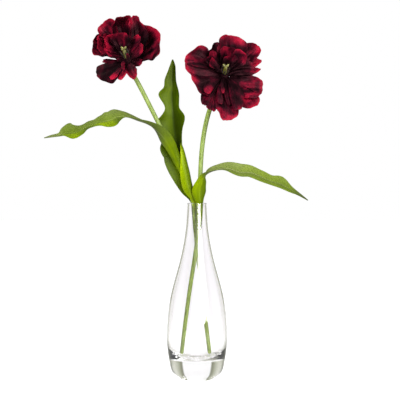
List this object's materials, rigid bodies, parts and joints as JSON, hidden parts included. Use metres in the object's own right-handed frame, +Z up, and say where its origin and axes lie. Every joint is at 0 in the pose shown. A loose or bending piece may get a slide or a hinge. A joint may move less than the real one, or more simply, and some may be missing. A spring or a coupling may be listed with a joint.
{
  "type": "double tulips in a glass vase",
  "caption": "Open dark red double tulips on curved stems with waved leaves, standing in a clear glass bottle vase with a heavy solid base.",
  "frame": {"origin": "centre of the flat underside of the vase, on the surface that it stands on", "axes": "+Z up along the vase's axis; -Y is the front, which both open blooms look towards; +X is to the viewer's right"},
  "size_m": [0.3242, 0.0907, 0.4548],
  "materials": {
    "clear_glass": "clear, smooth and polished",
    "stem_green": "smooth, satin, living stem",
    "leaf_green": "satin, fine lengthwise veins, living leaf",
    "petal_red": "satin, living petal",
    "pistil_yellow": "matte, living tissue"
  },
  "bodies": {
    "root": {"vase": "clear_glass", "left_stem": "stem_green", "right_stem": "stem_green", "left_leaf_upright": "leaf_green", "left_leaf_arching": "leaf_green", "right_leaf_drooping": "leaf_green", "left_bloom": "petal_red", "right_bloom": "petal_red", "left_pistil": "pistil_yellow", "right_pistil": "pistil_yellow", "left_stamens": "pistil_yellow", "right_stamens": "pistil_yellow"}
  },
  "joints": []
}
